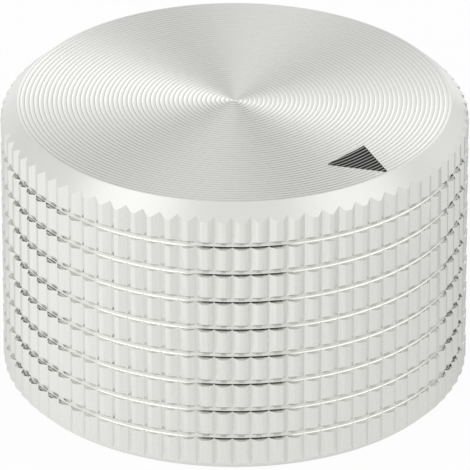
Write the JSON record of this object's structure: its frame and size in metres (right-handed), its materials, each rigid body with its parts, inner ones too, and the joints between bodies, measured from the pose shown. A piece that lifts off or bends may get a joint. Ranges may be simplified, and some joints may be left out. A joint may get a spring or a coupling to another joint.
{
  "type": "rotary knob",
  "caption": "Solid turned aluminium control knob with a straight-knurled, ringed grip, bevelled rim, printed pointer and a grub screw that clamps it to a round shaft.",
  "frame": {"origin": "centre of the underside, on the knob's axis", "axes": "+Z along the knob's axis, out of the top face; the pointer lies along -Y and the grub screw enters from +Y"},
  "size_m": [0.0254, 0.0254, 0.0159],
  "materials": {
    "turned_aluminium": "diamond-turned face, knurled grip, clear anodised",
    "blackened_steel": "black oxide",
    "black_ink": "pad-printed ink film"
  },
  "bodies": {
    "root": {"knob_body": "turned_aluminium", "grub_screw": "blackened_steel", "pointer_mark": "black_ink"}
  },
  "joints": []
}
